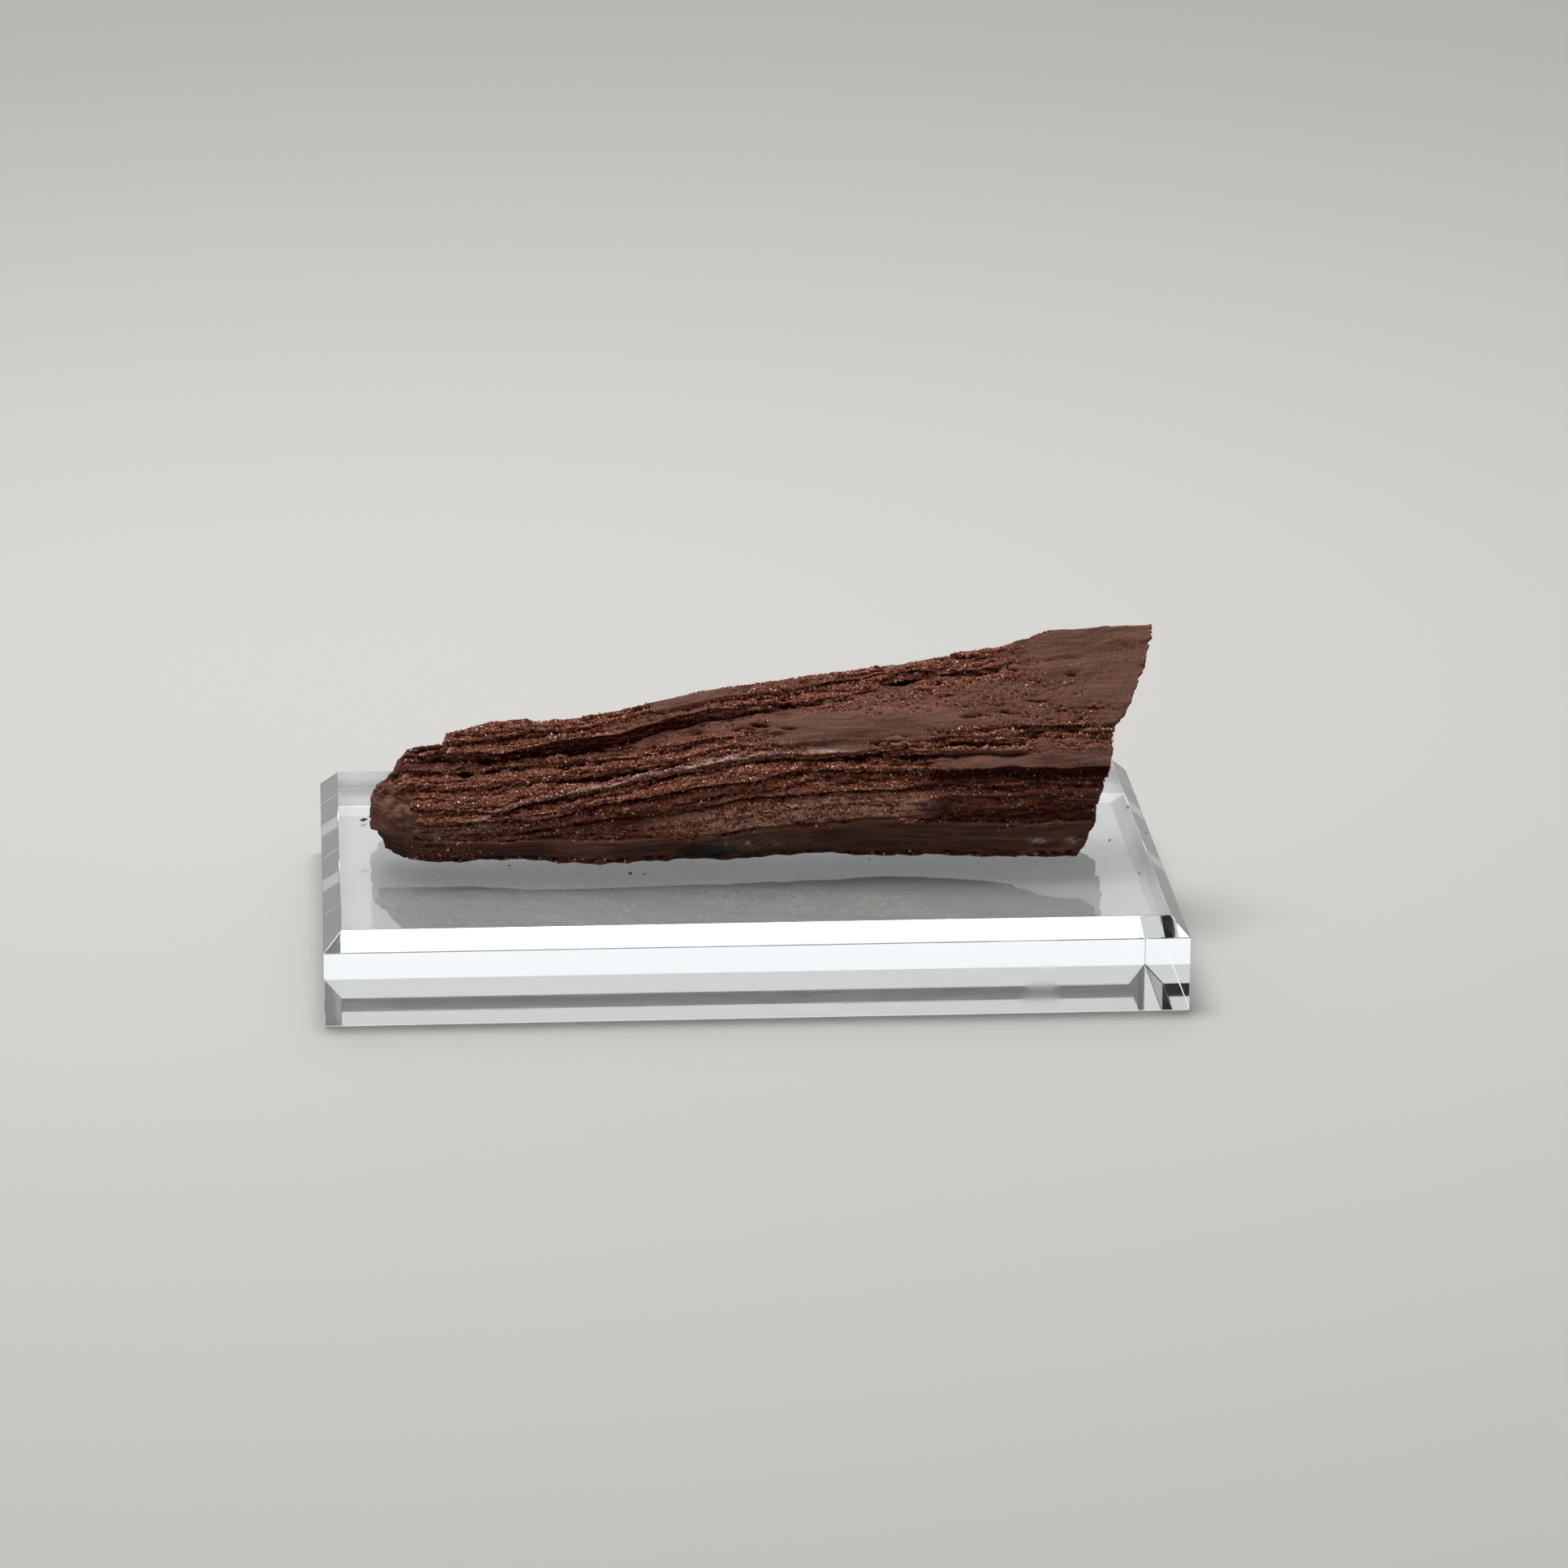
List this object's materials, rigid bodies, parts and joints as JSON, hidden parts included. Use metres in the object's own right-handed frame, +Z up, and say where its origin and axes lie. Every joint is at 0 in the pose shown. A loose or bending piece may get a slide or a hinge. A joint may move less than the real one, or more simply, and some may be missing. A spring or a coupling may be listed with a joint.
{
  "type": "petrified wood",
  "caption": "Dark red-brown petrified wood fragment with quartz-lined split layers, lying on a clear bevelled acrylic display block.",
  "frame": {"origin": "centre of the display block's underside", "axes": "+X along the block's length and the grain of the wood, towards the wood's raised tip; -Y towards the viewer's side of the wood; +Z up"},
  "size_m": [0.2286, 0.1524, 0.0788],
  "materials": {
    "clear_acrylic": "polished clear",
    "silicified_wood": "rough split stone with fine quartz crystals"
  },
  "bodies": {
    "root": {"acrylic_block": "clear_acrylic", "petrified_wood": "silicified_wood"}
  },
  "joints": []
}
